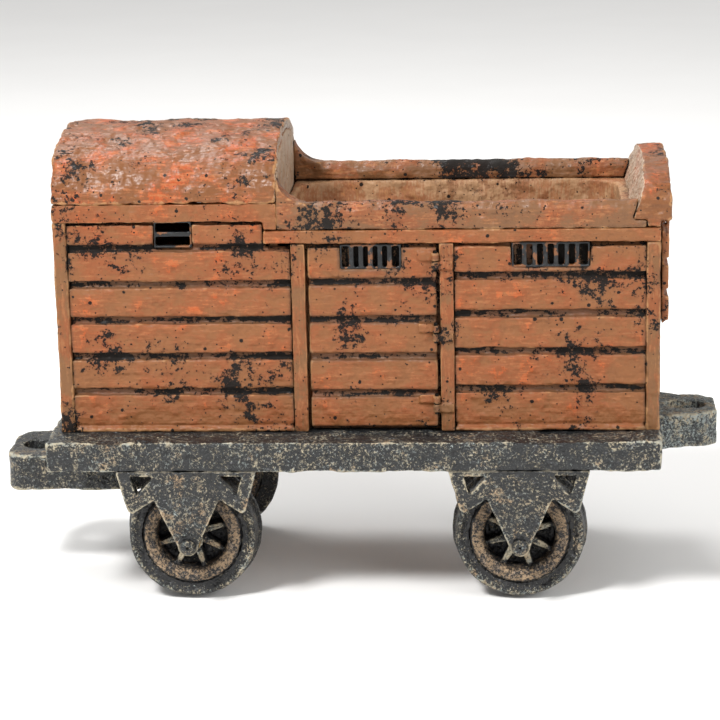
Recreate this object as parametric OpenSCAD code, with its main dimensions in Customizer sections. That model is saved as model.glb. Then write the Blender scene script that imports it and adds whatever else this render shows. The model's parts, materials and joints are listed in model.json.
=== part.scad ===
// Mine wagon on two axles: a timber-clad body with an arched hood at one end, an open
// trough at the other, two side doors, an end flap and a slotted drawbar at each end.
// +X runs from the low drawbar to the high one, the front faces -Y and +Z is up.
// The origin is on the ground, at the middle of the underframe.

/* [Body] */
// Length of the body over its corner posts
body_l = 140; // [125:1:180]
// Width of the body over its posts
body_w = 56; // [52:1:72]
// Height from the deck to the top of the side rail
side_h = 48.2; // [38:0.2:60]
// Depth of the side rail
rail_h = 3.3; // [2.4:0.1:5]
// Height of the hood's eave above the side rail
eave_up = 6.4; // [5.2:0.2:12]
// Depth of the fascia board under the eave
fascia_h = 4.2; // [3:0.1:5]
// Width of every post, seen from the side
post_w = 3.2; // [2.4:0.1:5]
// Depth of every post, from the outer face inwards
post_d = 3.4; // [3:0.1:5]
// Height of the sill strip below the boards
sill_h = 1.1; // [0.8:0.1:2]

/* [Boards] */
// Thickness of the side and end boards
board_t = 2.4; // [2:0.1:2.8]
// How far the boards lie behind the face of the posts
board_inset = 0.6; // [0.3:0.1:1]
// Depth of the open groove between two boards
groove_d = 1.3; // [0.8:0.1:1.5]
// Height of the open groove between two boards
groove_h = 1.7; // [0.8:0.1:2.4]
// Boards in the left side panel, below its top board
left_rows = 5; // [3:1:7]
// Boards in the right side panel and in each door
right_rows = 5; // [3:1:7]
// Height of the top board of the right side panel
top_board_h = 7.8; // [6.6:0.1:10]
// Gap between the left boards and the side rail
rail_gap = 0.8; // [0.4:0.1:1.5]
// Boards in the left end wall
left_end_rows = 6; // [4:1:8]
// Boards in the right end wall
right_end_rows = 5; // [4:1:8]

/* [Doors] */
// Distance from the left end of the body to the door opening
door_x = 58.3; // [55.5:0.1:66]
// Width of the door opening between its posts
door_w = 31.1; // [24:0.1:38]
// Thickness of the door boards
door_t = 1.6; // [1.4:0.1:2]
// Thickness of the ledges behind the door boards
ledge_t = 0.9; // [0.6:0.1:1.2]
// Running gap round the door
door_gap = 0.7; // [0.4:0.1:1.2]
// Radius of the hinge knuckles
knuckle_r = 0.9; // [0.8:0.05:1.1]
// Radius of the hinge pins
hinge_pin_r = 0.45; // [0.35:0.05:0.55]
// Height of one knuckle
knuckle_h = 2; // [1.4:0.1:3]
// Height from the deck to the lowest hinge
hinge_low = 4.8; // [4:0.1:8]
// Distance from the top of the door down to the foot of the highest hinge
hinge_high = 5.9; // [5:0.1:9]

/* [Windows] */
// Distance from the left end of the body to the hood window
hood_window_x = 23.4; // [8:0.1:34]
// Width of the hood window
hood_window_w = 8.9; // [6:0.1:12]
// Width of the door window
door_window_w = 14.2; // [8:0.1:20]
// Distance from the door opening to the door window
door_window_x = 8.1; // [3:0.1:12]
// Distance from the right door post to the side window
side_window_x = 13.3; // [6:0.1:20]
// Width of the side window
side_window_w = 18; // [10:0.1:22]
// Height of the door and side windows
window_h = 5.9; // [4:0.1:6]
// Width of a grate bar
bar_w = 1.1; // [0.8:0.1:1.6]
// Thickness of a grate
grate_t = 1.2; // [0.8:0.1:1.5]

/* [Hood and trough] */
// Length of the hood
hood_l = 52; // [40:0.5:54]
// Rise of the hood above its eave
hood_rise = 14; // [10:0.2:18]
// Radius of the shoulders of the hood
hood_shoulder = 11; // [7:0.2:13]
// Thickness of the hood and of the bulkhead
hood_t = 2.4; // [1.6:0.1:3.2]
// How far the hood stands out beyond the side of the body
hood_lip = 0.4; // [0:0.1:1.5]
// Height of the trough's top above the side rail
trough_up = 1.8; // [1.4:0.2:3.2]
// Wall thickness of the trough
trough_t = 1.8; // [1.2:0.1:2.5]
// Corner radius of the trough, seen from above
trough_r = 12; // [6:0.5:18]
// Space between the trough and the right end wall
trough_end_gap = 4.1; // [2:0.1:8]
// Radius of the rolled rim
rim_r = 2.5; // [2:0.1:3]
// Radius of the sweep in which each rim runs up the end of the hood
heel_r = 7; // [4:0.5:9]
// Height of the discharge port in each side of the trough
port_h = 30; // [15:0.5:34]

/* [End cap and flap] */
// Rise of the end cap above its eave
cap_rise = 6.6; // [6:0.2:12]
// Radius of the shoulders of the end cap
cap_shoulder = 5; // [4:0.2:5.8]
// Height of the eave of the end cap above the trough
cap_foot_h = 3.5; // [2:0.1:6]
// How far the end cap overhangs the end wall
cap_lip = 2.4; // [1:0.1:4]
// How far the cornice under the end cap reaches below the trough's top
cornice_drop = 0.3; // [0:0.1:0.5]
// How far the inner face of the end cap leans back
cap_lean = 3.4; // [1:0.1:4]
// Distance from the side of the body to the edge of the end flap
flap_margin = 2; // [2:0.5:12]
// Height of the end flap
flap_h = 22; // [12:0.5:30]
// Thickness of the end flap
flap_t = 1.6; // [1.2:0.1:2]
// Gap between the end flap and the wall
flap_gap = 0.35; // [0.3:0.05:0.6]

/* [Underframe] */
// Width of the frame that shows beside the body
ledge_w = 9.1; // [8:0.1:12]
// Length of the frame that shows beyond the left end of the body
end_ledge = 2.5; // [1:0.1:6]
// Depth of the solebars and headstocks
frame_h = 6.9; // [6:0.1:10]
// Width of each headstock, seen from above
headstock_w = 8; // [6:0.5:12]
// Thickness of the deck boards
deck_t = 2.4; // [1.6:0.1:3]
// Boards in the deck
deck_rows = 6; // [4:1:8]
// Width of each cross bearer
bearer_w = 7; // [5:0.5:9]
// Distance from each end of the frame to the middle of the first bearer
bearer_end = 16.25; // [14:0.25:20]
// Distance between the two middle bearers
bearer_pitch = 40; // [24:1:60]

/* [Drawbars] */
// Distance from the end of the frame to the end of each drawbar
drawbar_reach = 14.95; // [12:0.05:20]
// Width of each drawbar
drawbar_w = 22; // [18:0.5:26]
// Depth of the rebate in the low drawbar that holds its packing
packing_rebate = 0.4; // [0.2:0.1:1]
// Width of the high drawbar at its free end
drawbar_tip_w = 17; // [14:0.5:26]
// Depth of each drawbar
drawbar_h = 8.6; // [7:0.1:9]
// Height that is left between the low and the high drawbar
drawbar_step = 1; // [0.4:0.1:2]
// Depth of the tongue of the high drawbar under the frame
tongue_h = 3; // [2:0.1:4]
// Length of the pin slot
slot_l = 9.5; // [8:0.1:11]
// Width of the pin slot
slot_w = 7.2; // [5:0.1:9]
// Metal between the pin slot and the end of the drawbar
slot_end = 2.6; // [2:0.1:4]

/* [Running gear] */
// Distance between the two axles
wheelbase = 77.5; // [70:0.5:95]
// Radius of the wheel flange, which stands on the ground
flange_r = 16; // [13.3:0.1:19]
// How far the flange stands out from the tread
flange_h = 0.7; // [0.4:0.1:1.5]
// Height left between the flanges and the frame
wheel_clear = 2.3; // [1.5:0.1:5]
// Width of each wheel
wheel_t = 8.5; // [7:0.1:10]
// Radial thickness of the tyre, flange included
tyre_t = 4.2; // [3.8:0.1:5]
// Radial width of the raised ring of the wheel centre
ring_w = 3.4; // [2.4:0.1:4]
// Radius of the hub
hub_r = 3; // [2.6:0.1:4]
// Radius of the axle between the wheels
axle_r = 2; // [1.6:0.1:2.4]
// Radius of the axle journals
journal_r = 1; // [0.8:0.05:1.1]
// Running clearance of a journal or a hinge pin
run_gap = 0.05; // [0.02:0.01:0.08]
// Outer radius of the axle bushes
bush_r = 1.6; // [1.4:0.05:1.8]
// Radius of the axle caps
cap_r = 1.8; // [1.7:0.05:2.2]
// Thickness of each axle guard
guard_t = 3; // [2.4:0.1:4]
// Width of each axle guard at the frame
guard_w = 32.8; // [30:0.2:36]
// Width of the middle plate of each axle guard
guard_plate_w = 16.2; // [14:0.2:18]
// Space between a wheel and its axle guard
guard_gap = 4.7; // [4.3:0.1:6]
// Radius of the guard bolts
bolt_r = 0.7; // [0.5:0.05:0.9]

/* [Hidden] */
$fn = 64;

// A cutter runs this far past the face it cuts
over = 1;
timber = "#B5663F";
timber_worn = "#C08A68";
iron = "#3A3B3D";
iron_pale = "#8C8A80";

// Underframe
frame_l = body_l + end_ledge;
frame_w = body_w + 2 * ledge_w;
frame_z = 2 * flange_r + wheel_clear;
deck_z = frame_z + frame_h;
seat_w = 0.5;
side_in = body_w / 2 - post_d;
solebar_in = side_in - seat_w;
board_gap = 0.4;
outer_bearer = frame_l / 2 - bearer_end;
bearer_x = [-outer_bearer, -bearer_pitch / 2, bearer_pitch / 2, outer_bearer];

// Body, along its length
left_x = end_ledge / 2 - body_l / 2;
right_x = left_x + body_l;
hood_x = left_x + hood_l;
step_x = hood_x - post_w;
opening_x = left_x + door_x;
opening_end = opening_x + door_w;
cap_x = right_x - board_t - trough_end_gap;

// Body, upwards
rail_top = deck_z + side_h;
rail_z = rail_top - rail_h;
eave_z = rail_top + eave_up;
fascia_z = eave_z - fascia_h;
trough_top = rail_top + trough_up;
trough_h = trough_top - deck_z;
cap_eave = trough_top + cap_foot_h;
cap_top = cap_eave + cap_rise;
board_z = deck_z + sill_h;
seam = 0.1;
left_pitch = (rail_z - rail_gap - board_z) / left_rows;
left_top = board_z + left_rows * left_pitch;
right_pitch = (rail_z - board_z - top_board_h) / (right_rows - 1);
board_face = body_w / 2 - board_inset;

// Doors and their hinges
door_foot_gap = 0.3;
door_head_gap = 0.2;
door_z = deck_z + door_foot_gap;
door_top = rail_z - door_head_gap;
door_pitch = (door_top - door_z) / right_rows;
leaf_t = 0.6;
leaf_l = 4;
leaf_lift = 0.15;
knuckle_gap = 0.1;
pin_tail = 0.3;
pin_head = 0.6;
hinge_x = opening_end - knuckle_r - knuckle_gap;
hinge_y = board_face + leaf_lift + knuckle_r;
hinge_pitch = (door_top - hinge_high - deck_z - hinge_low) / 2;
hinge_z = [for (i = [0 : 2]) deck_z + hinge_low + i * hinge_pitch];

// End flap and its hinge
flap_axis_x = right_x + flap_gap + flap_t;
flap_drop = 1.95;
flap_axis_z = trough_top - flap_drop;
flap_top = flap_axis_z - knuckle_r;
flap_w = body_w - 2 * flap_margin;
flap_hinge_in = 10;
flap_hinge_y = flap_w / 2 - flap_hinge_in;
flap_leaf = 8;

// Running gear
axle_z = flange_r;
tread_r = flange_r - flange_h;
centre_r = flange_r - tyre_t;
ring_r = centre_r - ring_w;
guard_face = frame_w / 2;
guard_in = guard_face - guard_t;
wheel_face = guard_in - guard_gap;
wheel_in = wheel_face - wheel_t;
hub_boss = 2.2;
hub_end = wheel_face + hub_boss;
collar_r = 2.5;
collar_t = 2.1;
bush_in = guard_in - collar_t;
journal_in = 0.3;
journal_end = guard_face - journal_in;
tip_r = 2.4;
flange_foot_w = 3.1;
flange_foot_t = 1.2;
bolt_x = guard_w / 2 - 4.4;
bolt_y = guard_in - flange_foot_w / 2;
bolt_in = 3;
spokes = 8;
spoke_turn = 17;

// Drawbars
low_z = frame_z - tongue_h - drawbar_step - drawbar_h;
high_z = frame_z - tongue_h;
root_x = outer_bearer - bearer_w / 2;
packing_in = 1;
packing_end = frame_l / 2 - packing_in;
packing_z = low_z + drawbar_h - packing_rebate;
bar_corner_r = 5;
tip_cut = 3;
drawbar_end = frame_l / 2 + drawbar_reach;

// A box between its lowest and highest corners
module block(lo, hi) {
    translate(lo) cube(hi - lo);
}

// Draws its children at the front, or mirrored to the back
module at_side(back) {
    mirror([0, back ? 1 : 0, 0]) children();
}

// Draws its children at the right, or mirrored to the left
module at_end(left) {
    mirror([left ? 1 : 0, 0, 0]) children();
}

// Stands a profile drawn in X and Z upright, from y_in outwards to the front
module upright(y_in, thick) {
    translate([0, -y_in, 0]) rotate([90, 0, 0]) linear_extrude(thick) children();
}

// Runs a profile drawn in Y and Z along X
module along(x_start, length) {
    translate([x_start, 0, 0]) rotate([90, 0, 90]) linear_extrude(length) children();
}

// Turns a profile of radius and distance from the middle plane about an axle line
module turned(axle_x) {
    translate([axle_x, 0, axle_z]) rotate([90, 0, 0]) rotate_extrude($fn = 96) children();
}

// Three-centred arch: half width, rise and shoulder radius, standing on its springing line
module arch(half, rise, shoulder) {
    crown = (pow(half - shoulder, 2) + rise * rise - shoulder * shoulder) / (2 * (rise - shoulder));
    meet = (half - shoulder) * crown / (crown - shoulder);
    intersection() {
        union() {
            for (s = [-1, 1]) translate([s * (half - shoulder), 0]) circle(shoulder);
            intersection() {
                translate([0, rise - crown]) circle(crown, $fn = 192);
                translate([-meet, 0]) square([2 * meet, rise + over]);
            }
        }
        translate([-half - over, 0]) square([2 * (half + over), rise + over]);
    }
}

// Rectangle between two corners with all four corners rounded
module rounded(lo, hi, r) {
    translate([lo[0] + r, lo[1]]) square([hi[0] - lo[0] - 2 * r, hi[1] - lo[1]]);
    translate([lo[0], lo[1] + r]) square([hi[0] - lo[0], hi[1] - lo[1] - 2 * r]);
    for (x = [lo[0] + r, hi[0] - r], y = [lo[1] + r, hi[1] - r]) translate([x, y]) circle(r);
}

// Shiplap board: its back nearly meets its neighbours and its front leaves half a groove on each side
module board(x0, x1, z0, z1, face, thick) {
    mid = face - min(groove_d, thick - 0.5);
    block([x0, -mid, z0 + seam / 2], [x1, thick - face, z1 - seam / 2]);
    block([x0, -face, z0 + groove_h / 2], [x1, -mid, z1 - groove_h / 2]);
}

// Window grate: a thin frame with upright bars, and one level bar where it has none
module grate(x0, x1, z0, z1, face, bars) {
    frame_t = 0.5;
    clear_w = x1 - x0 - 2 * frame_t;
    upright(face - grate_t, grate_t) difference() {
        translate([x0, z0]) square([x1 - x0, z1 - z0]);
        difference() {
            translate([x0 + frame_t, z0 + frame_t]) square([clear_w, z1 - z0 - 2 * frame_t]);
            for (i = [1 : 1 : bars]) {
                translate([x0 + frame_t + i * clear_w / (bars + 1) - bar_w / 2, z0])
                    square([bar_w, z1 - z0]);
            }
            if (bars == 0) translate([x0, (z0 + z1 - bar_w) / 2]) square([x1 - x0, bar_w]);
        }
    }
}

// ---- Underframe ----

module solebar(back) {
    color(iron) at_side(back) difference() {
        block([-frame_l / 2, -frame_w / 2, frame_z], [frame_l / 2, -solebar_in, deck_z]);
        for (a = [-1, 1], s = [-1, 1]) {
            translate([a * wheelbase / 2 + s * bolt_x, -bolt_y, frame_z - over])
                cylinder(r = bolt_r + run_gap, h = bolt_in + over, $fn = 32);
        }
    }
}

module headstock(left) {
    color(iron) at_end(left)
        block([frame_l / 2 - headstock_w, -solebar_in, frame_z], [frame_l / 2, solebar_in, deck_z]);
}

module cross_bearers() {
    color(iron) for (x = bearer_x) {
        block([x - bearer_w / 2, -solebar_in, frame_z], [x + bearer_w / 2, solebar_in, deck_z - deck_t]);
    }
}

module deck_boards() {
    reach = frame_l / 2 - headstock_w;
    pitch = 2 * solebar_in / deck_rows;
    color(timber) for (i = [0 : deck_rows - 1]) {
        y0 = i * pitch - solebar_in;
        block([-reach, y0 + board_gap / 2, deck_z - deck_t], [reach, y0 + pitch - board_gap / 2, deck_z]);
    }
}

module pin_slot(z0) {
    translate([0, 0, z0 - over]) linear_extrude(drawbar_h + 2 * over)
        rounded([drawbar_end - slot_end - slot_l, -slot_w / 2], [drawbar_end - slot_end, slot_w / 2],
                slot_w / 2 - 0.01);
}

module drawbar_low() {
    color(iron_pale) at_end(true) difference() {
        translate([0, 0, low_z]) linear_extrude(drawbar_h)
            rounded([root_x, -drawbar_w / 2], [drawbar_end, drawbar_w / 2], bar_corner_r);
        block([root_x - over, -drawbar_w / 2 - over, packing_z],
              [packing_end, drawbar_w / 2 + over, low_z + drawbar_h + over]);
        pin_slot(low_z);
    }
}

module drawbar_packing() {
    color(iron) at_end(true)
        block([root_x, -drawbar_w / 2, packing_z], [packing_end, drawbar_w / 2, frame_z]);
}

module drawbar_high() {
    root = frame_l / 2;
    color(iron_pale) difference() {
        union() {
            translate([0, 0, high_z]) linear_extrude(drawbar_h) {
                polygon([
                    [root, -drawbar_w / 2], [drawbar_end - tip_cut, -drawbar_tip_w / 2],
                    [drawbar_end, tip_cut - drawbar_tip_w / 2],
                    [drawbar_end, drawbar_tip_w / 2 - tip_cut],
                    [drawbar_end - tip_cut, drawbar_tip_w / 2], [root, drawbar_w / 2]
                ]);
            }
            block([root_x, -drawbar_w / 2, high_z], [root + 0.5, drawbar_w / 2, frame_z]);
        }
        pin_slot(high_z);
    }
}

// ---- Running gear ----

module guard_outline() {
    half = guard_w / 2;
    waist = guard_plate_w / 2 - 0.5;
    waist_z = frame_z - 6.8;
    stay_z = frame_z - 10.2;
    difference() {
        union() {
            polygon([
                [-half, frame_z], [-half + 2.6, stay_z + 0.6], [-half + 3.6, stay_z], [-waist, waist_z],
                [-tip_r, axle_z], [tip_r, axle_z], [waist, waist_z],
                [half - 3.6, stay_z], [half - 2.6, stay_z + 0.6], [half, frame_z]
            ]);
            translate([0, axle_z]) circle(tip_r);
        }
        for (s = [-1, 1]) {
            polygon([
                [s * (half - 3.3), frame_z - flange_foot_t],
                [s * (guard_plate_w / 2 - 0.4), frame_z - flange_foot_t],
                [s * (guard_plate_w / 2), frame_z - 2.1], [s * (half - 4.7), frame_z - 5.9]
            ]);
        }
        translate([0, axle_z]) circle(bush_r);
    }
}

module axle_guard(back, left) {
    color(iron) at_side(back) at_end(left) translate([wheelbase / 2, 0, 0]) {
        upright(guard_in, guard_t) guard_outline();
        difference() {
            block([-guard_w / 2, -guard_in, frame_z - flange_foot_t],
                  [guard_w / 2, flange_foot_w - guard_in, frame_z]);
            for (s = [-1, 1]) {
                translate([s * bolt_x, -bolt_y, frame_z - flange_foot_t - over])
                    cylinder(r = bolt_r + run_gap, h = flange_foot_t + 2 * over, $fn = 32);
            }
        }
    }
}

module guard_bolts() {
    head_h = 0.9;
    color(iron) for (back = [false, true], a = [-1, 1], s = [-1, 1]) {
        at_side(back) translate([a * wheelbase / 2 + s * bolt_x, -bolt_y, frame_z - flange_foot_t - head_h]) {
            cylinder(r = 2 * bolt_r, h = head_h, $fn = 6);
            cylinder(r = bolt_r, h = head_h + flange_foot_t + bolt_in - 0.2, $fn = 32);
        }
    }
}

module axle_bushes() {
    color("#A8814B") for (back = [false, true], a = [-1, 1]) {
        at_side(back) turned(a * wheelbase / 2) polygon([
            [journal_r + run_gap, bush_in], [collar_r, bush_in], [collar_r, guard_in],
            [bush_r, guard_in], [bush_r, guard_face], [journal_r + run_gap, guard_face]
        ]);
    }
}

module axle_caps() {
    color(iron_pale) for (back = [false, true], a = [-1, 1]) {
        at_side(back) turned(a * wheelbase / 2) polygon([
            [0, guard_face], [cap_r, guard_face], [cap_r, guard_face + 0.7],
            [cap_r - 0.6, guard_face + 1.4], [0.45, guard_face + 1.5], [0.3, guard_face + 0.9],
            [0, guard_face + 0.9]
        ]);
    }
}

module axle(left) {
    color(iron) turned(left ? -wheelbase / 2 : wheelbase / 2) polygon([
        [0, -journal_end], [journal_r, -journal_end], [journal_r, -hub_end], [axle_r, -hub_end],
        [axle_r, hub_end], [journal_r, hub_end], [journal_r, journal_end], [0, journal_end]
    ]);
}

module wheel_centre(back, left) {
    web_in = wheel_in + 1.4;
    web_out = wheel_in + 3.2;
    spoke_out = wheel_face - 1.9;
    ring_lip = 0.8;
    axle_x = left ? -wheelbase / 2 : wheelbase / 2;
    color(iron_pale) at_side(back) {
        turned(axle_x) polygon([
            [axle_r, wheel_in], [hub_r, wheel_in], [hub_r, web_in], [ring_r, web_in],
            [ring_r, wheel_in], [centre_r, wheel_in], [centre_r, wheel_face - ring_lip],
            [centre_r - ring_lip, wheel_face], [ring_r + ring_lip, wheel_face],
            [ring_r, wheel_face - ring_lip], [ring_r, web_out], [hub_r, web_out],
            [hub_r, hub_end], [axle_r, hub_end]
        ]);
        translate([axle_x, -web_out, axle_z]) rotate([90, 0, 0]) {
            for (i = [0 : spokes - 1]) {
                rotate(i * 360 / spokes + spoke_turn) linear_extrude(spoke_out - web_out) polygon([
                    [hub_r - 0.3, -0.9], [ring_r + 0.3, -0.55],
                    [ring_r + 0.3, 0.55], [hub_r - 0.3, 0.9]
                ]);
            }
        }
    }
}

module tyre(back, left) {
    groove_r = centre_r + 1.6;
    band_y = wheel_face - 0.9;
    color(iron) at_side(back) turned(left ? -wheelbase / 2 : wheelbase / 2) polygon([
        [centre_r, wheel_in], [flange_r - 0.6, wheel_in], [flange_r, wheel_in + 0.6],
        [flange_r, wheel_in + 1.7], [tread_r, wheel_in + 2.7], [tread_r - 0.2, wheel_face - 0.9],
        [tread_r - 0.8, wheel_face - 0.3], [groove_r + 0.4, wheel_face - 0.3],
        [groove_r, band_y], [centre_r, band_y]
    ]);
}

// ---- Body ----

module corner_post(back, left) {
    x0 = left ? left_x : right_x - post_w;
    top = left ? fascia_z : rail_z;
    color(timber) at_side(back) block([x0, -body_w / 2, deck_z], [x0 + post_w, -side_in, top]);
}

// Knuckle and leaf of one hinge: dir is -1 for the door's half and 1 for the post's half
module hinge_half(dir, z0, bore, leaf_in) {
    translate([0, 0, z0]) difference() {
        union() {
            translate([hinge_x, -hinge_y, 0]) cylinder(r = knuckle_r, h = knuckle_h, $fn = 32);
            block([dir < 0 ? hinge_x - leaf_l : hinge_x, -leaf_in - leaf_t, 0],
                  [dir < 0 ? hinge_x : hinge_x + leaf_l, -leaf_in, knuckle_h]);
        }
        translate([hinge_x, -hinge_y, -over]) cylinder(r = bore, h = knuckle_h + 2 * over, $fn = 32);
    }
}

module door_post(back, left) {
    x0 = left ? opening_x - post_w : opening_end;
    color(timber) at_side(back) {
        block([x0, -body_w / 2, deck_z], [x0 + post_w, -side_in, rail_z]);
        if (!left) for (z = hinge_z) hinge_half(1, z, hinge_pin_r, body_w / 2);
    }
}

module door_pins(back) {
    color(iron_pale) at_side(back) for (z = hinge_z) {
        translate([hinge_x, -hinge_y, z - pin_tail])
            cylinder(r = hinge_pin_r, h = 2 * knuckle_h + pin_tail + pin_head, $fn = 32);
    }
}

module side_boards(back, left) {
    x0 = left ? left_x + post_w : opening_end + post_w;
    x1 = left ? opening_x - post_w : right_x - post_w;
    rows = left ? left_rows : right_rows;
    pitch = left ? left_pitch : right_pitch;
    window = left_x + hood_window_x;
    grate_x = x0 + side_window_x;
    color(timber) at_side(back) {
        block([x0, -body_w / 2, deck_z], [x1, board_t - board_face, board_z]);
        for (i = [0 : rows - (left ? 1 : 2)]) {
            board(x0, x1, board_z + i * pitch, board_z + (i + 1) * pitch, board_face, board_t);
        }
        if (left) {
            board(x0, window, left_top, fascia_z, board_face, board_t);
            board(window + hood_window_w, step_x, left_top, fascia_z, board_face, board_t);
        } else difference() {
            board(x0, x1, rail_z - top_board_h, rail_z, board_face, board_t);
            block([grate_x, -body_w / 2, rail_z - window_h], [grate_x + side_window_w, 0, rail_z + over]);
        }
    }
}

module side_rail(back) {
    color(timber) at_side(back)
        block([step_x, -body_w / 2, rail_z], [right_x, -side_in, rail_top]);
}

module hood_rail(back) {
    color(timber) at_side(back) {
        block([left_x, -body_w / 2, fascia_z], [hood_x, -side_in, eave_z]);
        block([step_x, -body_w / 2, rail_top], [hood_x, -side_in, fascia_z]);
    }
}

module end_boards(left) {
    top = left ? eave_z : trough_top;
    rows = left ? left_end_rows : right_end_rows;
    face = left ? -left_x : right_x;
    pitch = (top - board_z) / rows;
    color(timber) rotate([0, 0, left ? -90 : 90]) {
        block([-side_in, -face, deck_z], [side_in, board_t - face, board_z]);
        for (i = [0 : rows - 1]) {
            board(-side_in, side_in, board_z + i * pitch, board_z + (i + 1) * pitch, face, board_t);
        }
    }
    if (!left) color(iron) for (back = [false, true]) at_side(back) difference() {
        union() {
            block([right_x, knuckle_h - flap_hinge_y, flap_axis_z - knuckle_r],
                  [flap_axis_x, 2 * knuckle_h - flap_hinge_y, flap_axis_z + knuckle_r]);
            flap_barrel(knuckle_r, knuckle_h - flap_hinge_y, knuckle_h);
        }
        flap_barrel(hinge_pin_r, -flap_hinge_y, 4 * knuckle_h);
    }
}

// Cylinder on the hinge line of the end flap
module flap_barrel(r, y0, length) {
    translate([flap_axis_x, y0, flap_axis_z]) rotate([-90, 0, 0]) cylinder(r = r, h = length, $fn = 32);
}

module door(back) {
    x0 = opening_x + door_gap;
    x1 = opening_end - door_gap;
    window = opening_x + door_window_x;
    color(timber) at_side(back) {
        difference() {
            for (i = [0 : right_rows - 1]) {
                board(x0, x1, door_z + i * door_pitch, door_z + (i + 1) * door_pitch, board_face, door_t);
            }
            block([window, -body_w / 2, door_top - window_h], [window + door_window_w, 0, door_top + over]);
        }
        for (x = [x0 + 2, x1 - 5]) {
            block([x, door_t - board_face, door_z + 1], [x + 3, door_t + ledge_t - board_face, door_top - 1]);
        }
        for (z = hinge_z) hinge_half(-1, z + knuckle_h + knuckle_gap, hinge_pin_r + run_gap, board_face);
    }
}

module door_grate(back) {
    window = opening_x + door_window_x;
    color("#1B1D22") at_side(back)
        grate(window, window + door_window_w, door_top - window_h, door_top, board_face - 0.3, 5);
}

module window_grates() {
    window = left_x + hood_window_x;
    side = opening_end + post_w + side_window_x;
    color("#1B1D22") for (back = [false, true]) at_side(back) {
        grate(window, window + hood_window_w, left_top, fascia_z, board_face - 0.6, 0);
        grate(side, side + side_window_w, rail_z - window_h, rail_z, board_face - 0.6, 6);
    }
}

module trough() {
    port_in = 2;
    port_lift = 4;
    port_x = opening_x + port_in;
    port_z = deck_z + port_lift;
    color(timber_worn) difference() {
        union() {
            translate([0, 0, deck_z]) linear_extrude(trough_h)
                rounded([hood_x, -side_in], [cap_x, side_in], trough_r);
            block([hood_x, -side_in, trough_top - trough_t], [right_x - board_t, side_in, trough_top]);
        }
        translate([0, 0, deck_z + trough_t]) linear_extrude(trough_h)
            rounded([hood_x + trough_t, trough_t - side_in], [cap_x - trough_t, side_in - trough_t],
                    trough_r - trough_t);
        block([port_x, -body_w, port_z], [port_x + door_w - 2 * port_in, body_w, port_z + port_h]);
    }
}

module hood() {
    half = body_w / 2 + hood_lip;
    color(timber) translate([0, 0, eave_z]) {
        along(left_x, hood_l) difference() {
            arch(half, hood_rise, hood_shoulder);
            arch(half - hood_t, hood_rise - hood_t, hood_shoulder - hood_t);
        }
        along(left_x, hood_t) arch(half - hood_t / 2, hood_rise - hood_t / 2, hood_shoulder - hood_t / 2);
    }
}

module bulkhead() {
    color(timber_worn) {
        block([hood_x - hood_t, -side_in, deck_z], [hood_x, side_in, eave_z]);
        translate([0, 0, eave_z]) along(hood_x - hood_t, hood_t)
            arch(body_w / 2 + hood_lip - hood_t, hood_rise - hood_t, hood_shoulder - hood_t);
    }
}

// Everything on the trough's side of the leaning face of the end cap, from y_in outwards
module before_cap(y_in, thick) {
    upright(y_in, thick) polygon([
        [hood_x - over, trough_top - over], [cap_x, trough_top - over], [cap_x, trough_top],
        [cap_x + cap_lean, cap_top], [cap_x + cap_lean, cap_top + over], [hood_x - over, cap_top + over]
    ]);
}

module end_cap() {
    half = body_w / 2 + hood_lip;
    foot_lap = 0.5;
    color(timber) difference() {
        union() {
            translate([0, 0, cap_eave]) along(cap_x, right_x + cap_lip - cap_x)
                arch(half, cap_rise, cap_shoulder);
            block([cap_x, -body_w / 2, trough_top], [right_x, body_w / 2, cap_eave + foot_lap]);
            block([right_x - foot_lap, -body_w / 2, trough_top - cornice_drop],
                  [right_x + cap_lip, body_w / 2, cap_eave + foot_lap]);
            for (s = [-1, 1]) {
                block([right_x - post_w, s > 0 ? side_in : -body_w / 2, rail_top],
                      [right_x, s > 0 ? body_w / 2 : -side_in, trough_top]);
            }
        }
        before_cap(-body_w, 2 * body_w);
        block([right_x - board_t, -side_in, trough_top - cornice_drop - over],
              [right_x, side_in, trough_top]);
    }
}

// Sweep of a rim up the end of the hood, no higher than the hood itself
module rim_heel(rim_y, rim_z) {
    top = rim_z + rim_r + heel_r;
    intersection() {
        upright(rim_y - rim_r, body_w / 2 - rim_y + rim_r) difference() {
            translate([hood_x, rim_z]) square([heel_r, top - rim_z]);
            translate([hood_x + heel_r, top]) circle(heel_r);
        }
        union() {
            translate([0, 0, eave_z]) along(hood_x, heel_r)
                arch(body_w / 2 + hood_lip, hood_rise, hood_shoulder);
            block([hood_x, -body_w / 2, rim_z], [hood_x + heel_r, 0, eave_z]);
        }
    }
}

// Rolled rim: it stands on the side rail and laps over the top of the trough
module rim(back) {
    rim_lap = 0.5;
    rim_proud = 0.1;
    rim_z = trough_top + rim_r - rim_lap;
    rim_y = body_w / 2 + rim_proud - rim_r;
    rim_end = cap_x + cap_lean;
    color(timber) at_side(back) {
        intersection() {
            difference() {
                union() {
                    translate([hood_x, -rim_y, rim_z]) rotate([0, 90, 0])
                        cylinder(r = rim_r, h = rim_end - hood_x);
                    block([hood_x, -body_w / 2, trough_top - over], [rim_end, rim_r - rim_y, rim_z]);
                    rim_heel(rim_y, rim_z);
                }
                block([hood_x - over, -body_w, trough_top - rim_r], [rim_end + over, 0, trough_top]);
            }
            before_cap(0, body_w);
        }
        block([hood_x, -body_w / 2, rail_top], [right_x - post_w, -side_in, trough_top]);
    }
}

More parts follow.
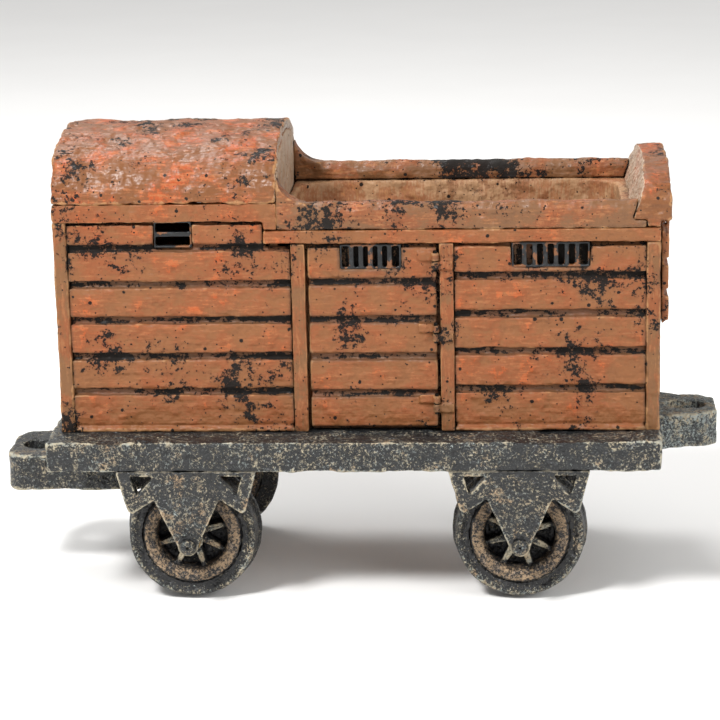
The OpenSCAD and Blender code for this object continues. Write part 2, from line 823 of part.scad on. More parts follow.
module end_flap() {
    wall_x = right_x + flap_gap;
    rows = 3;
    pitch = flap_h / rows;
    color(timber) for (i = [0 : rows - 1]) {
        rotate([0, 0, 90]) board(-flap_w / 2, flap_w / 2, flap_top - flap_h + i * pitch,
            flap_top - flap_h + (i + 1) * pitch, wall_x + flap_t, flap_t);
    }
    color(iron) for (back = [false, true]) at_side(back) difference() {
        union() {
            flap_barrel(knuckle_r, -flap_hinge_y - knuckle_gap, knuckle_h);
            block([flap_axis_x, -flap_hinge_y - knuckle_gap, flap_axis_z - flap_leaf],
                  [flap_axis_x + leaf_t, knuckle_h - flap_hinge_y - knuckle_gap, flap_axis_z]);
        }
        flap_barrel(hinge_pin_r + run_gap, -flap_hinge_y - knuckle_h, 3 * knuckle_h);
    }
}

module end_flap_pin() {
    color(iron_pale) for (back = [false, true]) {
        at_side(back) flap_barrel(hinge_pin_r, -flap_hinge_y - 0.4, 2 * knuckle_h + 0.6);
    }
}

solebar(false);  // solebar_front
solebar(true);  // solebar_back
headstock(true);  // headstock_left
headstock(false);  // headstock_right
cross_bearers();
deck_boards();
drawbar_low();
drawbar_packing();
drawbar_high();
axle_guard(false, true);  // axle_guard_front_left
axle_guard(false, false);  // axle_guard_front_right
axle_guard(true, true);  // axle_guard_back_left
axle_guard(true, false);  // axle_guard_back_right
guard_bolts();
axle_bushes();
axle_caps();
axle(true);  // axle_left
axle(false);  // axle_right
wheel_centre(false, true);  // wheel_centre_front_left
wheel_centre(true, true);  // wheel_centre_back_left
wheel_centre(false, false);  // wheel_centre_front_right
wheel_centre(true, false);  // wheel_centre_back_right
tyre(false, true);  // tyre_front_left
tyre(true, true);  // tyre_back_left
tyre(false, false);  // tyre_front_right
tyre(true, false);  // tyre_back_right
corner_post(false, true);  // corner_post_front_left
corner_post(false, false);  // corner_post_front_right
corner_post(true, true);  // corner_post_back_left
corner_post(true, false);  // corner_post_back_right
door_post(false, true);  // door_post_front_left
door_post(false, false);  // door_post_front_right
door_post(true, true);  // door_post_back_left
door_post(true, false);  // door_post_back_right
side_boards(false, true);  // side_boards_front_left
side_boards(false, false);  // side_boards_front_right
side_boards(true, true);  // side_boards_back_left
side_boards(true, false);  // side_boards_back_right
side_rail(false);  // side_rail_front
side_rail(true);  // side_rail_back
hood_rail(false);  // hood_rail_front
hood_rail(true);  // hood_rail_back
end_boards(true);  // end_boards_left
end_boards(false);  // end_boards_right
door(false);  // door_front
door(true);  // door_back
door_grate(false);  // door_grate_front
door_grate(true);  // door_grate_back
door_pins(false);  // door_pins_front
door_pins(true);  // door_pins_back
window_grates();
trough();
hood();
bulkhead();
end_cap();
rim(false);  // rim_front
rim(true);  // rim_back
end_flap();
end_flap_pin();
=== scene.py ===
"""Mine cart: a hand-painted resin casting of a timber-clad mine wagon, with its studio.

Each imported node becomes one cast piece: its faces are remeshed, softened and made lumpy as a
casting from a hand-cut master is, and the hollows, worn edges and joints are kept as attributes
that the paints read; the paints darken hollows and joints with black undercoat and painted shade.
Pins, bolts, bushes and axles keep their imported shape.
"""
import json
import math

import bmesh
import bpy
import numpy as np
from mathutils import Matrix, Vector
from mathutils.bvhtree import BVHTree


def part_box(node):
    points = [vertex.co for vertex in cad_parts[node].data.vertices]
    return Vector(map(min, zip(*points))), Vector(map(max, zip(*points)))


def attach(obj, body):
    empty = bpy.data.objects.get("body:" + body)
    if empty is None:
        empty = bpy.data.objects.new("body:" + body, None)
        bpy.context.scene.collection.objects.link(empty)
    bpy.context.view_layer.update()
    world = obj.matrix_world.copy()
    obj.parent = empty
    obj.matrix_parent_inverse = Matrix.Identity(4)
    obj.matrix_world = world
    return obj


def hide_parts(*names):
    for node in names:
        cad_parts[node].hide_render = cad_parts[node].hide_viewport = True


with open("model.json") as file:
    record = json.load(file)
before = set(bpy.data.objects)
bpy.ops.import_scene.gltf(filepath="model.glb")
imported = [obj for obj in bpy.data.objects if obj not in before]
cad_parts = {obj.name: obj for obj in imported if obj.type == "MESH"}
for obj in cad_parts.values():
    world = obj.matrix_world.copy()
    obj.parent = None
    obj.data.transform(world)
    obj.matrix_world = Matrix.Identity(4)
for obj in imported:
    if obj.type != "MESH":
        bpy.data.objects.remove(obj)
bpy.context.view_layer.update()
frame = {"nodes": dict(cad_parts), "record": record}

MM = 0.001

# ---- Studio ----

LENS_MM = 131.07
SENSOR_MM = 36.0
CAMERA_AT = Vector((39.32, -615.12, 214.66)) * MM
CAMERA_YAW = math.radians(3.645)
CAMERA_PITCH = math.radians(-14.855)
CAMERA_ROLL = math.radians(-1.221)


def make_camera():
    """The camera, aimed by its yaw, pitch and roll."""
    data = bpy.data.cameras.new("studio_camera")
    data.sensor_width = SENSOR_MM
    data.lens = LENS_MM
    data.clip_end = 20.0
    camera = bpy.data.objects.new("studio_camera", data)
    turn = Matrix.Rotation(CAMERA_YAW, 4, "Z")
    tilt = Matrix.Rotation(math.radians(90) + CAMERA_PITCH, 4, "X")
    roll = Matrix.Rotation(CAMERA_ROLL, 4, "Z")
    camera.matrix_world = Matrix.Translation(CAMERA_AT) @ turn @ tilt @ roll
    bpy.context.collection.objects.link(camera)
    bpy.context.scene.camera = camera


def make_light(name, place, size, power):
    """A square soft box at a place in metres, aimed at the middle of the wagon."""
    data = bpy.data.lights.new(name, "AREA")
    data.size = size
    data.energy = power
    light = bpy.data.objects.new(name, data)
    aim = Vector((0, 0, 0.06)) - Vector(place)
    light.matrix_world = Matrix.Translation(Vector(place)) @ aim.to_track_quat("-Z", "Y").to_matrix().to_4x4()
    bpy.context.collection.objects.link(light)


# ---- Colour and nodes ----


def linear(code):
    """An sRGB hex colour as linear red, green, blue and alpha."""
    parts = [int(code[i:i + 2], 16) / 255 for i in (1, 3, 5)]
    return tuple(c / 12.92 if c <= 0.04045 else ((c + 0.055) / 1.055) ** 2.4 for c in parts) + (1.0,)


def per(size_mm):
    """The texture scale at which one feature measures size_mm."""
    return 1000.0 / size_mm


def add(tree, kind, links=None, **settings):
    """Adds a shader node, sets its fields, and fills its sockets with values, sockets or nodes."""
    made = tree.nodes.new("ShaderNode" + kind)
    for key, value in settings.items():
        setattr(made, key, value)
    for key, value in (links or {}).items():
        if isinstance(value, bpy.types.Node):
            value = value.outputs[0]
        if isinstance(value, bpy.types.NodeSocket):
            tree.links.new(value, made.inputs[key])
        else:
            made.inputs[key].default_value = value
    return made


def start_material(name):
    """An empty material with its tree, principled shader and object coordinates."""
    material = bpy.data.materials.new(name)
    material.use_nodes = True
    tree = material.node_tree
    tree.nodes.clear()
    shader = add(tree, "BsdfPrincipled")
    add(tree, "OutputMaterial", {"Surface": shader})
    return material, tree, shader, add(tree, "TexCoord").outputs["Object"]


def mix_of(tree, *parts):
    """Patterns added together, each with its own weight."""
    level = 0.0
    for pattern, weight in parts:
        level = add(tree, "Math", {0: pattern, 1: weight, 2: level}, operation="MULTIPLY_ADD")
    return level


def where(tree, low, high, *parts):
    """Where a mix of patterns is high: 0 below low, 1 above high and smooth between them."""
    links = {"Value": mix_of(tree, *parts), "From Min": low, "From Max": high}
    return add(tree, "MapRange", links, interpolation_type="SMOOTHSTEP")


def coats(tree, ground, *layers):
    """Coats of paint over a ground, each a colour, the mask where it takes and how opaque it is."""
    for colour, mask, cover in layers:
        share = add(tree, "Math", {0: mask, 1: cover}, operation="MULTIPLY")
        ground = add(tree, "MixRGB", {"Fac": share, "Color1": ground, "Color2": colour})
    return ground


def darkest(tree, *masks):
    """The strongest of several masks at each point."""
    level = masks[0]
    for mask in masks[1:]:
        level = add(tree, "Math", {0: level, 1: mask}, operation="MAXIMUM")
    return level


def kept_numbers(tree, *names):
    """The numbers kept on the piece's own points, such as how deep in a hollow each lies."""
    return [add(tree, "Attribute", attribute_name=name).outputs["Fac"] for name in names]


# ---- Paints ----

TAN = linear("#7A4C29")
POST_TAN = linear("#704B2B")
ROOF_TAN = linear("#704422")
RIM_TAN = linear("#6F4B2E")
TROUGH_TAN = linear("#A27D5B")
TERRACOTTA = linear("#82421F")
ORANGE = linear("#AC450D")
BEIGE = linear("#A67B50")
WHITEWASH = linear("#B5A48F")
UMBER = linear("#453527")
BLACK = linear("#0C0B09")
CHARCOAL = linear("#1C1D1E")
CREAM = linear("#B3A88F")
BLUE_GREY = linear("#98A19E")
RUST = linear("#9C7550")
PITCH = linear("#101011")
SLATE = linear("#2B2E30")
WHEEL_BLACK = linear("#151517")
TYRE_BLACK = linear("#161617")
WASH_BLACK = linear("#0A0B0C")
WASH_BLOOM = linear("#3A3F43")
STEEL = linear("#8B8782")
STEEL_STAIN = linear("#4A4643")
BLACKED_STEEL = linear("#2A2826")
BLACKED_STAIN = linear("#171615")
BRASS = linear("#B08D57")
BRASS_STAIN = linear("#6B5230")
PAPER = linear("#F4F3F1")
PAPER_SHADE = linear("#F0EFED")
ACRYLIC_IOR = 1.49


def painted_boards(name, ground, bristles_along, ripe, worn, dry, gloss, varnish, swell_mm, rough_mm):
    """Acrylic over a black undercoat on resin: brushed tans, chipped to black, with painted shade in hollows
    and joints, satin in the light.
    """
    material, tree, shader, at = start_material(name)
    recess_and_shade, shade_halo, edge, pale = kept_numbers(tree, "recess_and_shade", "shade_halo", "edge", "pale")
    # Bristle marks 0.6 mm apart and 5 mm long; real ones, 0.2 mm apart, are too fine to show
    drag_at = add(tree, "Mapping", {"Vector": at, "Scale": bristles_along})
    drag = add(tree, "TexNoise", {"Vector": drag_at, "Scale": per(0.6), "Detail": 4.0, "Roughness": 0.7})
    # Strokes 2.6 mm wide and about 22 mm long, which bridge a gap between boards here and there
    bridge = add(tree, "TexNoise", {"Vector": drag_at, "Scale": per(2.6), "Detail": 3.0, "Roughness": 0.6})
    region = add(tree, "TexNoise", {"Vector": at, "Scale": per(15.0), "Detail": 3.0, "Roughness": 0.55})
    patch = add(tree, "TexNoise", {"Vector": at, "Scale": per(8.0), "Detail": 7.0, "Roughness": 0.70})
    mottle = add(tree, "TexNoise", {"Vector": at, "Scale": per(2.0), "Detail": 7.0, "Roughness": 0.76})
    grit = add(tree, "TexNoise", {"Vector": at, "Scale": per(0.8), "Detail": 4.0, "Roughness": 0.7})
    # Air holes about 0.8 mm across, and finer ones about 0.35 mm across, all a little ragged
    hole_at = add(tree, "TexVoronoi", {"Vector": at, "Scale": per(4.2)}).outputs["Distance"]
    prick_at = add(tree, "TexVoronoi", {"Vector": at, "Scale": per(1.7)}).outputs["Distance"]

    holes = where(tree, 0.02, 0.04, (hole_at, -1.0), (mottle, 0.25))
    pricks = where(tree, -0.03, 0.0, (prick_at, -1.0), (mottle, 0.18))
    # Black in gaps, hollows and joints: partly the black undercoat, partly painted shade
    gaps = where(
        tree, 3.80, 3.88, (recess_and_shade, 0.40), (shade_halo, 0.90), (mottle, 2.2), (bridge, 2.6), (grit, 0.5),
    )
    chips = where(
        tree, 1.56, 1.58, (mottle, 1.0), (grit, 0.6), (region, 1.2),
        (shade_halo, 0.14), (edge, -0.05), (pale, -0.2), (1.0, worn),
    )
    dark = darkest(tree, gaps, chips, holes, pricks)

    paint = coats(
        tree, ground,
        (TERRACOTTA, where(tree, 0.45, 0.55, (patch, 0.7), (drag, 0.3)), 0.70),
        (ORANGE, where(tree, 0.555, 0.585, (patch, 0.6), (drag, 0.2), (mottle, 0.2), (1.0, ripe)), 0.62),
        (BEIGE, where(tree, 0.50, 0.60, (drag, 0.5), (mottle, 0.3), (patch, 0.2)), dry),
        (UMBER, where(tree, 0.52, 0.60, (region, 0.4), (mottle, 0.4), (drag, 0.2)), 0.42),
        (BEIGE, where(tree, 0.55, 0.95, (edge, 1.0), (mottle, 0.55)), 0.65),
        # Umber painted shade spreading out from hollows and joints
        (UMBER, where(tree, 0.55, 0.95, (shade_halo, 1.0), (mottle, 0.8)), 0.60),
        (WHITEWASH, where(tree, 1.22, 1.42, (pale, 0.75), (drag, 0.7), (mottle, 0.5)), 0.85),
        (BLACK, dark, 0.97),
    )
    tree.links.new(paint.outputs[0], shader.inputs["Base Color"])
    # Glossier in patches, and dead matt where only the undercoat is left
    rough = mix_of(tree, (patch, 0.6), (dark, 0.35), (1.0, gloss - 0.15))
    tree.links.new(rough.outputs[0], shader.inputs["Roughness"])
    shader.inputs["IOR"].default_value = ACRYLIC_IOR
    shader.inputs["Specular IOR Level"].default_value = 0.36
    shader.inputs["Coat Weight"].default_value = varnish
    shader.inputs["Coat Roughness"].default_value = 0.22
    # Relief has few octaves, because slopes finer than a render shows only dull the light
    swell = add(tree, "TexNoise", {"Vector": at, "Scale": per(swell_mm), "Detail": 2.0, "Roughness": 0.45})
    nubs = add(tree, "TexNoise", {"Vector": at, "Scale": per(1.3), "Detail": 1.0, "Roughness": 0.5})
    furrows = add(tree, "TexNoise", {"Vector": drag_at, "Scale": per(0.9), "Detail": 1.0})
    height = mix_of(tree, (swell, 1.0), (nubs, 0.20), (furrows, 0.16), (dark, -0.10))
    bump = add(tree, "Bump", {"Height": height, "Strength": 1.0, "Distance": rough_mm * MM})
    tree.links.new(bump.outputs[0], shader.inputs["Normal"])
    tree.links.new(bump.outputs[0], shader.inputs["Coat Normal"])
    return material


def drybrushed_iron(name, base, speckle, warmth, wear):
    """Charcoal acrylic with cream and blue-grey dragged over it, so that only high grains are pale."""
    material, tree, shader, at = start_material(name)
    recess_and_shade, shade_halo, edge, ring = kept_numbers(tree, "recess_and_shade", "shade_halo", "edge", "ring")
    grains = add(tree, "TexNoise", {"Vector": at, "Scale": per(0.55), "Detail": 5.0, "Roughness": 0.80})
    swirl = add(tree, "TexNoise", {"Vector": at, "Scale": per(2.4), "Detail": 6.0, "Roughness": 0.75})
    region = add(tree, "TexNoise", {"Vector": at, "Scale": per(9.0), "Detail": 4.0, "Roughness": 0.65})
    # Curling ridges that a stiff brush leaves: a warped noise, kept only near its middle value
    curl_links = {"Vector": at, "Scale": per(2.8), "Detail": 2.0, "Distortion": 1.8}
    curl = add(tree, "TexNoise", curl_links)
    off_middle = add(tree, "Math", {0: mix_of(tree, (curl, 1.0), (1.0, -0.5))}, operation="ABSOLUTE")
    ridges = where(tree, -0.035, 0.0, (off_middle, -1.0))
    hole_at = add(tree, "TexVoronoi", {"Vector": at, "Scale": per(3.0)}).outputs["Distance"]
    holes = where(tree, -0.14, -0.10, (hole_at, -1.0))

    high = where(
        tree, 0.80, 0.90, (grains, 1.0), (swirl, 0.35), (region, 0.22), (edge, 0.22), (ridges, 0.07),
        (ring, 0.105), (recess_and_shade, -0.35), (shade_halo, -0.10), (1.0, speckle),
    )
    warm = where(tree, 0.54, 0.64, (region, 0.5), (swirl, 0.5), (ring, 0.20), (1.0, warmth))
    dust = coats(
        tree, BLUE_GREY,
        (CREAM, where(tree, 0.42, 0.56, (swirl, 1.0), (1.0, warmth)), 1.0),
        (RUST, warm, 0.60),
    )
    paint = coats(
        tree, base,
        (dust, high, 0.85),
        (CREAM, where(tree, 0.80, 1.10, (edge, 1.0), (grains, 0.9)), wear),
        # Pitch black in hollows and joints, partly undercoat and partly painted shade, and in air holes
        (PITCH, darkest(tree, where(tree, 0.35, 0.75, (recess_and_shade, 1.0)), holes), 0.90),
    )
    tree.links.new(paint.outputs[0], shader.inputs["Base Color"])
    rough = add(tree, "MapRange", {"Value": high, "To Min": 0.42, "To Max": 0.72})
    tree.links.new(rough.outputs[0], shader.inputs["Roughness"])
    shader.inputs["IOR"].default_value = ACRYLIC_IOR
    swell = add(tree, "TexNoise", {"Vector": at, "Scale": per(2.6), "Detail": 2.0, "Roughness": 0.5})
    nubs = add(tree, "TexNoise", {"Vector": at, "Scale": per(1.0), "Detail": 1.0, "Roughness": 0.5})
    height = mix_of(tree, (swell, 1.0), (nubs, 0.60), (ridges, 0.10), (high, 0.06), (holes, -0.15))
    bump = add(tree, "Bump", {"Height": height, "Strength": 1.0, "Distance": 1.1 * MM})
    tree.links.new(bump.outputs[0], shader.inputs["Normal"])
    return material


def window_wash(name):
    """Black wash left in a window, with a blue-grey bloom and a few dabs of body paint on the bars."""
    material, tree, shader, at = start_material(name)
    haze = add(tree, "TexNoise", {"Vector": at, "Scale": per(2.2), "Detail": 4.0, "Roughness": 0.7})
    spot = add(tree, "TexNoise", {"Vector": at, "Scale": per(3.4), "Detail": 3.0, "Roughness": 0.6})
    bloom = where(tree, 0.50, 0.66, (haze, 1.0))
    paint = coats(
        tree, WASH_BLACK,
        (WASH_BLOOM, bloom, 0.45),
        (TAN, where(tree, 0.545, 0.575, (spot, 1.0)), 0.80),
    )
    tree.links.new(paint.outputs[0], shader.inputs["Base Color"])
    rough = add(tree, "MapRange", {"Value": bloom, "To Min": 0.35, "To Max": 0.65})
    tree.links.new(rough.outputs[0], shader.inputs["Roughness"])
    shader.inputs["IOR"].default_value = ACRYLIC_IOR
    bump = add(tree, "Bump", {"Height": haze, "Strength": 0.6, "Distance": 0.2 * MM})
    tree.links.new(bump.outputs[0], shader.inputs["Normal"])
    return material


def bare_metal(name, colour, tarnish, rough_low):
    """Drawn or turned metal, dulled: darker where it has tarnished, with fine marks from the tool."""
    material, tree, shader, at = start_material(name)
    stain_at = add(tree, "TexNoise", {"Vector": at, "Scale": per(1.8), "Detail": 3.0, "Roughness": 0.6})
    stain = where(tree, 0.42, 0.60, (stain_at, 1.0))
    marks_at = add(tree, "Mapping", {"Vector": at, "Scale": (1.0, 0.15, 1.0)})
    marks = add(tree, "TexNoise", {"Vector": marks_at, "Scale": per(0.3), "Detail": 2.0})
    paint = coats(tree, colour, (tarnish, stain, 1.0))
    tree.links.new(paint.outputs[0], shader.inputs["Base Color"])
    rough = add(tree, "MapRange", {"Value": stain, "To Min": rough_low, "To Max": 0.6})
    tree.links.new(rough.outputs[0], shader.inputs["Roughness"])
    shader.inputs["Metallic"].default_value = 1.0
    bump = add(tree, "Bump", {"Height": marks, "Strength": 0.25, "Distance": 0.05 * MM})
    tree.links.new(bump.outputs[0], shader.inputs["Normal"])
    return material


ALONG_X = (0.12, 1.0, 1.0)
ALONG_Z = (1.0, 1.0, 0.12)
PAINTS = {
    "boards": painted_boards(
        "acrylic_on_boards", TAN, ALONG_X,
        ripe=-0.012, worn=-0.02, dry=0.28, gloss=0.46, varnish=0.06, swell_mm=4.0, rough_mm=1.2,
    ),
    "posts": painted_boards(
        "acrylic_on_posts", POST_TAN, ALONG_Z,
        ripe=-0.040, worn=0.0, dry=0.30, gloss=0.46, varnish=0.06, swell_mm=4.0, rough_mm=1.0,
    ),
    "roof": painted_boards(
        "acrylic_on_roof", ROOF_TAN, ALONG_X,
        ripe=0.024, worn=0.05, dry=0.40, gloss=0.36, varnish=0.10, swell_mm=5.5, rough_mm=1.2,
    ),
    "rim": painted_boards(
        "acrylic_on_rims", RIM_TAN, ALONG_X,
        ripe=-0.020, worn=0.04, dry=0.45, gloss=0.42, varnish=0.08, swell_mm=4.5, rough_mm=1.2,
    ),
    "trough": painted_boards(
        "acrylic_in_trough", TROUGH_TAN, ALONG_Z,
        ripe=-0.030, worn=-0.12, dry=0.60, gloss=0.50, varnish=0.03, swell_mm=4.5, rough_mm=1.4,
    ),
    "frame": drybrushed_iron("drybrushed_frame", CHARCOAL, speckle=-0.02, warmth=0.00, wear=0.40),
    "drawbar": drybrushed_iron("drybrushed_drawbar", SLATE, speckle=0.045, warmth=-0.03, wear=0.60),
    "guard": drybrushed_iron("drybrushed_guard", CHARCOAL, speckle=-0.015, warmth=0.03, wear=0.45),
    "wheel": drybrushed_iron("drybrushed_wheel", WHEEL_BLACK, speckle=-0.055, warmth=0.04, wear=0.30),
    "tyre": drybrushed_iron("drybrushed_tyre", TYRE_BLACK, speckle=-0.035, warmth=0.00, wear=0.75),
    "grate": window_wash("wash_in_windows"),
    "steel": bare_metal("dulled_steel_wire", STEEL, STEEL_STAIN, rough_low=0.35),
    "hinge": bare_metal("blackened_steel_pin", BLACKED_STEEL, BLACKED_STAIN, rough_low=0.45),
    "brass": bare_metal("turned_brass", BRASS, BRASS_STAIN, rough_low=0.30),
}

# ---- Cast pieces ----

# Each family: start of the node's name, paint, voxel and lump height in mm.
FAMILIES = [
    ("solebar", "frame", 0.42, 1.10),
    ("headstock", "frame", 0.50, 1.00),
    ("cross_bearers", "frame", 0.80, 0.40),
    ("deck_boards", "trough", 0.80, 0.15),
    ("drawbar_packing", "frame", 0.50, 0.30),
    ("drawbar_low", "frame", 0.40, 0.90),
    ("drawbar_high", "drawbar", 0.40, 0.90),
    ("axle_guard", "guard", 0.28, 0.55),
    ("axle_caps", "guard", 0.16, 0.20),
    ("wheel_centre", "wheel", 0.32, 0.35),
    ("tyre", "tyre", 0.36, 0.45),
    ("corner_post", "posts", 0.36, 0.55),
    ("door_post", "posts", 0.34, 0.30),
    ("side_boards", "boards", 0.42, 0.75),
    ("side_rail", "boards", 0.40, 0.70),
    ("hood_rail", "boards", 0.40, 0.70),
    ("end_boards", "boards", 0.46, 0.50),
    ("door_grate", "grate", 0.20, 0.12),
    ("door_front", "boards", 0.34, 0.32),
    ("door_back", "boards", 0.34, 0.32),
    ("window_grates", "grate", 0.20, 0.12),
    ("trough", "trough", 0.70, 0.80),
    ("hood", "roof", 0.46, 1.50),
    ("bulkhead", "trough", 0.60, 0.60),
    ("end_cap", "roof", 0.38, 1.20),
    ("rim", "rim", 0.36, 0.90),
    ("end_flap", "boards", 0.36, 0.35),
]
KEPT = {
    "axle_left": "steel", "axle_right": "steel", "axle_bushes": "brass", "guard_bolts": "steel",
    "door_pins_front": "hinge", "door_pins_back": "hinge", "end_flap_pin": "hinge",
}
# Pieces whose joints are mostly filled with paint, so that their joints get little painted shade
SEAMLESS = ("hood", "bulkhead", "end_cap", "end_flap", "side_rail")
# How near another piece darkens this one with painted shade, and how far the painted shade round a hollow
# spreads
CONTACT_MM = 1.3
HALO_MM = 0.9
# Size of the lumps and of the grain on them, and the grain's height as a share of the lumps'
LUMP_MM = 8.5
GRAIN_MM = 2.3
GRAIN_SHARE = 0.55
EVEN_VOXEL_MM = 0.4
FINE_ROUNDS = 3
BROAD_ROUNDS = 26
MOST_ROUNDS = 90
MOST_HALO_ROUNDS = 60
# How far back the white reaches over the hood's open end, and down the bulkhead
HOOD_WHITE_MM = 3
BULKHEAD_WHITE_MM = 12
# How far behind the boards' face a gap starts, is fully dark and ends
GAP_START_MM = 0.35
GAP_DARK_MM = 0.95
GAP_END_MM = 2.0
# How far in from the trough's side still counts as its outside, and how far down daylight reaches
TROUGH_SKIN_MM = 1.0
TROUGH_DAYLIGHT_MM = 2.5
# Radii over which the colour on a wheel's raised ring comes in and fades out
RING_COMES_IN_MM = (8.0, 8.8)
RING_FADES_OUT_MM = (11.2, 11.9)


def cloud(name, size_mm, depth):
    """A procedural cloud for displacement, with lumps of size_mm."""
    made = bpy.data.textures.new(name, "CLOUDS")
    made.noise_scale = size_mm * MM
    made.noise_depth = depth
    return made


LUMPS = cloud("hand_cut_lumps", LUMP_MM, 1)
GRAIN = cloud("cast_grain", GRAIN_MM, 2)


def merged_copy(node):
    """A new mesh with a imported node's shape and its doubles merged."""
    work = bmesh.new()
    work.from_mesh(frame["nodes"][node].data)
    bmesh.ops.remove_doubles(work, verts=work.verts, dist=0.001 * MM)
    made = bpy.data.meshes.new(node + "_cast")
    work.to_mesh(made)
    work.free()
    return made


def modifier(piece, kind, **settings):
    """Adds a modifier with its settings."""
    made = piece.modifiers.new(kind.lower(), kind)
    for key, value in settings.items():
        setattr(made, key, value)


def applied(piece):
    """Replaces a piece's mesh with what its modifiers make of it."""
    graph = bpy.context.evaluated_depsgraph_get()
    made = bpy.data.meshes.new_from_object(piece.evaluated_get(graph))
    piece.modifiers.clear()
    piece.data = made


def keep_number(mesh, name, values):
    """Stores one number for each point of a mesh."""
    made = mesh.attributes.new(name, "FLOAT", "POINT")
    made.data.foreach_set("value", np.clip(values, 0, 1).astype(np.float32))


def points_and_normals(mesh):
    """Arrays of a mesh's points and normals."""
    count = len(mesh.vertices)
    points, normals = np.empty(count * 3), np.empty(count * 3)
    mesh.vertices.foreach_get("co", points)
    mesh.vertex_normals.foreach_get("vector", normals)
    return points.reshape(-1, 3), normals.reshape(-1, 3)


def spread(mesh, values, rounds):
    """Columns of numbers on a mesh's points, evened out along its edges over that many rounds."""
    ends = np.empty(len(mesh.edges) * 2, np.int64)
    mesh.edges.foreach_get("vertices", ends)
    a, b = ends.reshape(-1, 2).T
    count, even = len(values), values.copy()
    shared = np.maximum(np.bincount(a, minlength=count) + np.bincount(b, minlength=count), 1)
    for _ in range(rounds):
        for column in even.T:
            gathered = np.bincount(a, column[b], count) + np.bincount(b, column[a], count)
            column[:] = 0.5 * column + 0.5 * gathered / shared
    return even


def relief(mesh, points, normals, rounds):
    """How far each point lies below (positive) the surface evened out over that many rounds, in mm."""
    return np.einsum("ij,ij->i", spread(mesh, points, rounds) - points, normals) / MM


def neighbours_of(node):
    """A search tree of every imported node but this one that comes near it."""
    low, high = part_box(node)
    reach = Vector((1, 1, 1)) * CONTACT_MM * MM
    points, faces = [], []
    for other, item in frame["nodes"].items():
        other_low, other_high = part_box(other)
        apart = any(other_low[i] > high[i] + reach[i] or other_high[i] < low[i] - reach[i] for i in range(3))
        if other == node or apart:
            continue
        start = len(points)
        points += [v.co for v in item.data.vertices]
        faces += [[start + i for i in p.vertices] for p in item.data.polygons]
    return BVHTree.FromPolygons(points, faces) if faces else None


def crevice(node, points):
    """1 where another piece touches, falling to 0 at CONTACT_MM from it."""
    near = np.zeros(len(points))
    tree = neighbours_of(node)
    if tree is None:
        return near
    reach = CONTACT_MM * MM
    for i, point in enumerate(points):
        gap = tree.find_nearest(point, reach)[3]
        if gap is not None:
            near[i] = 1 - gap / reach
    return near


def smooth_step(values, low, high):
    """0 at low, 1 at high and smooth between them, on arrays."""
    t = np.clip((values - low) / (high - low), 0, 1)
    return t * t * (3 - 2 * t)


def whitewash(node, points, normals):
    """Where the brush left white: the open end of the hood, and the ends of the trough."""
    along, up = normals[:, 0], points[:, 2]
    hood_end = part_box("hood")[1].x
    if node == "hood":
        return smooth_step(along, 0.4, 0.8) * (points[:, 0] > hood_end - HOOD_WHITE_MM * MM)
    if node == "bulkhead":
        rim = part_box("trough")[1].z
        return smooth_step(along, 0.4, 0.8) * smooth_step(up, rim - BULKHEAD_WHITE_MM * MM, rim)
    if node == "end_cap":
        return smooth_step(-along, 0.3, 0.7)
    return np.zeros(len(points))


def board_gaps(node, points, normals):
    """The open gaps between boards, by how far a point lies behind the boards' own outer face; the paints
    fill them with black undercoat and painted shade.
    """
    out = np.zeros(len(points))
    if not node.startswith(("side_boards", "door_front", "door_back", "end_boards")):
        return out
    axis = 0 if node.startswith("end") else 1
    side = math.copysign(1, sum(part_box(node)[i][axis] for i in (0, 1)))
    face = np.percentile(points[:, axis] * side, 97)
    behind = (face - points[:, axis] * side) / MM
    outward = normals[:, axis] * side > -0.3
    return smooth_step(behind, GAP_START_MM, GAP_DARK_MM) * (behind < GAP_END_MM) * outward


def trough_outside_shade(node, points):
    """The outside of the trough, painted black as shade, since it never sees daylight between the boards and
    the trough.
    """
    if node != "trough":
        return np.zeros(len(points))
    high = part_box(node)[1]
    sides = np.abs(points[:, 1]) > high.y - TROUGH_SKIN_MM * MM
    return (sides & (points[:, 2] < high.z - TROUGH_DAYLIGHT_MM * MM)).astype(float)


def wheel_ring(node, points):
    """The raised ring of a wheel, where the brush left the most colour."""
    if not node.startswith("wheel_centre"):
        return np.zeros(len(points))
    low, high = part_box(node)
    middle = (low + high) / 2
    radius = np.hypot(points[:, 0] - middle.x, points[:, 2] - middle.z) / MM
    return smooth_step(radius, *RING_COMES_IN_MM) * (1 - smooth_step(radius, *RING_FADES_OUT_MM))


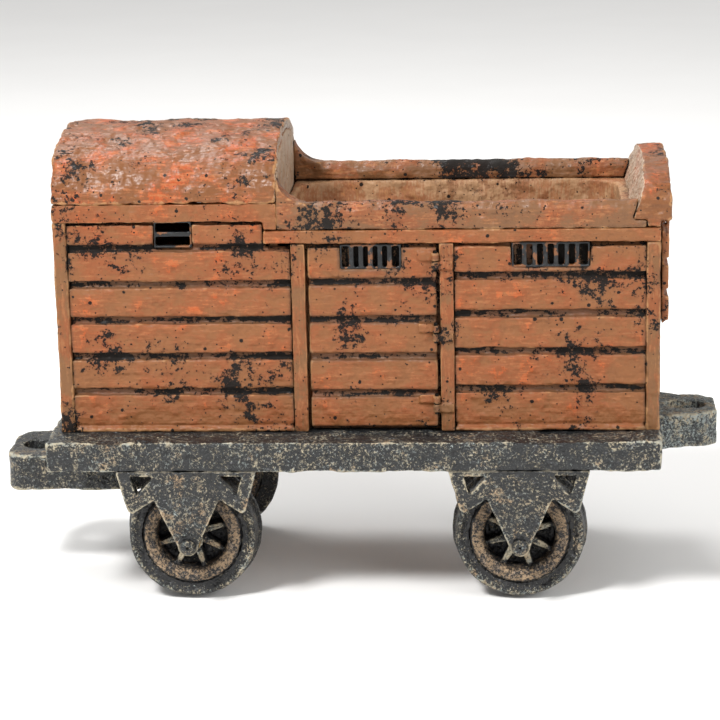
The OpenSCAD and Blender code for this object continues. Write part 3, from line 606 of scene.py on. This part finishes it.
def cast(node, paint, voxel, lump):
    """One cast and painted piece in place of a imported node."""
    piece = bpy.data.objects.new(node + "_cast", merged_copy(node))
    bpy.context.collection.objects.link(piece)
    voxel = voxel * 1.0
    modifier(piece, "REMESH", mode="VOXEL", voxel_size=voxel * MM)
    modifier(piece, "SMOOTH", factor=0.5, iterations=2)
    modifier(piece, "DISPLACE", texture=LUMPS, texture_coords="LOCAL", strength=lump * MM, mid_level=0.5)
    grain = GRAIN_SHARE * lump
    modifier(piece, "DISPLACE", texture=GRAIN, texture_coords="LOCAL", strength=grain * MM, mid_level=0.5)
    modifier(piece, "SMOOTH", factor=0.4, iterations=1)
    applied(piece)
    mesh = piece.data
    points, normals = points_and_normals(mesh)
    near = max(2, round(FINE_ROUNDS * (EVEN_VOXEL_MM / voxel)))
    broad = max(8, round(BROAD_ROUNDS * (EVEN_VOXEL_MM / voxel) ** 2))
    fine = relief(mesh, points, normals, near)
    wide = relief(mesh, points, normals, min(broad, MOST_ROUNDS))
    touch = crevice(node, points)
    # The recess level rises where another piece meets this one, so the joint between them gets painted shade
    joint = 0.10 if node.startswith(SEAMLESS) else 0.55
    # Where the paints go black: board gaps and hollows below the evened-out surface (undercoat and painted
    # shade), and the trough's hidden outside (painted shade)
    deep = np.maximum(board_gaps(node, points, normals), trough_outside_shade(node, points))
    deep = np.maximum(deep, smooth_step(wide, 0.15, 0.95) * 0.8)
    deep = np.clip(deep + joint * smooth_step(touch, 0.35, 0.95), 0, 1)
    halo_rounds = min(MOST_HALO_ROUNDS, max(4, round(2 * (HALO_MM / (0.7 * voxel)) ** 2)))
    keep_number(mesh, "recess_and_shade", deep)
    keep_number(mesh, "shade_halo", spread(mesh, deep[:, None], halo_rounds)[:, 0])
    keep_number(mesh, "edge", smooth_step(-wide, 0.12, 0.80) + smooth_step(-fine, 0.03, 0.16) * 0.5)
    keep_number(mesh, "pale", whitewash(node, points, normals))
    keep_number(mesh, "ring", wheel_ring(node, points))
    mesh.materials.clear()
    mesh.materials.append(PAINTS[paint])
    mesh.polygons.foreach_set("use_smooth", [True] * len(mesh.polygons))
    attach(piece, BODY_OF[node])
    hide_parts(node)
    return piece


record = frame["record"]
BODY_OF = {node: body for body, nodes in record["behaviour"]["bodies"].items() for node in nodes}

for node in frame["nodes"]:
    if node in KEPT:
        frame["nodes"][node].material_slots[0].material = PAINTS[KEPT[node]]
        continue
    family = next(f for f in FAMILIES if node.startswith(f[0]))
    cast(node, *family[1:])

# ---- Set ----


def make_floor():
    """A pale seamless floor that reaches past every view."""
    work = bmesh.new()
    bmesh.ops.create_grid(work, x_segments=1, y_segments=1, size=6.0)
    mesh = bpy.data.meshes.new("studio_floor")
    work.to_mesh(mesh)
    work.free()
    floor = bpy.data.objects.new("studio_floor", mesh)
    bpy.context.collection.objects.link(floor)
    material, tree, shader, at = start_material("studio_paper")
    mist = add(tree, "TexNoise", {"Vector": at, "Scale": per(60.0)})
    paper = coats(tree, PAPER, (PAPER_SHADE, mist, 1.0))
    tree.links.new(paper.outputs[0], shader.inputs["Base Color"])
    shader.inputs["Roughness"].default_value = 0.9
    mesh.materials.append(material)


def make_world():
    """Even white light from all round."""
    world = bpy.data.worlds.new("studio_world")
    bpy.context.scene.world = world
    world.use_nodes = True
    backdrop = world.node_tree.nodes["Background"]
    backdrop.inputs["Color"].default_value = (1.0, 1.0, 1.0, 1.0)
    backdrop.inputs["Strength"].default_value = 0.62


make_camera()
make_floor()
make_world()
make_light("key_box", (-0.34, -0.50, 0.72), 0.18, 9.0)
make_light("fill_box", (0.70, -0.55, 0.45), 0.50, 3.6)
make_light("back_box", (-0.22, 0.40, 0.72), 0.26, 3.0)
bpy.context.scene.view_settings.view_transform = "Standard"
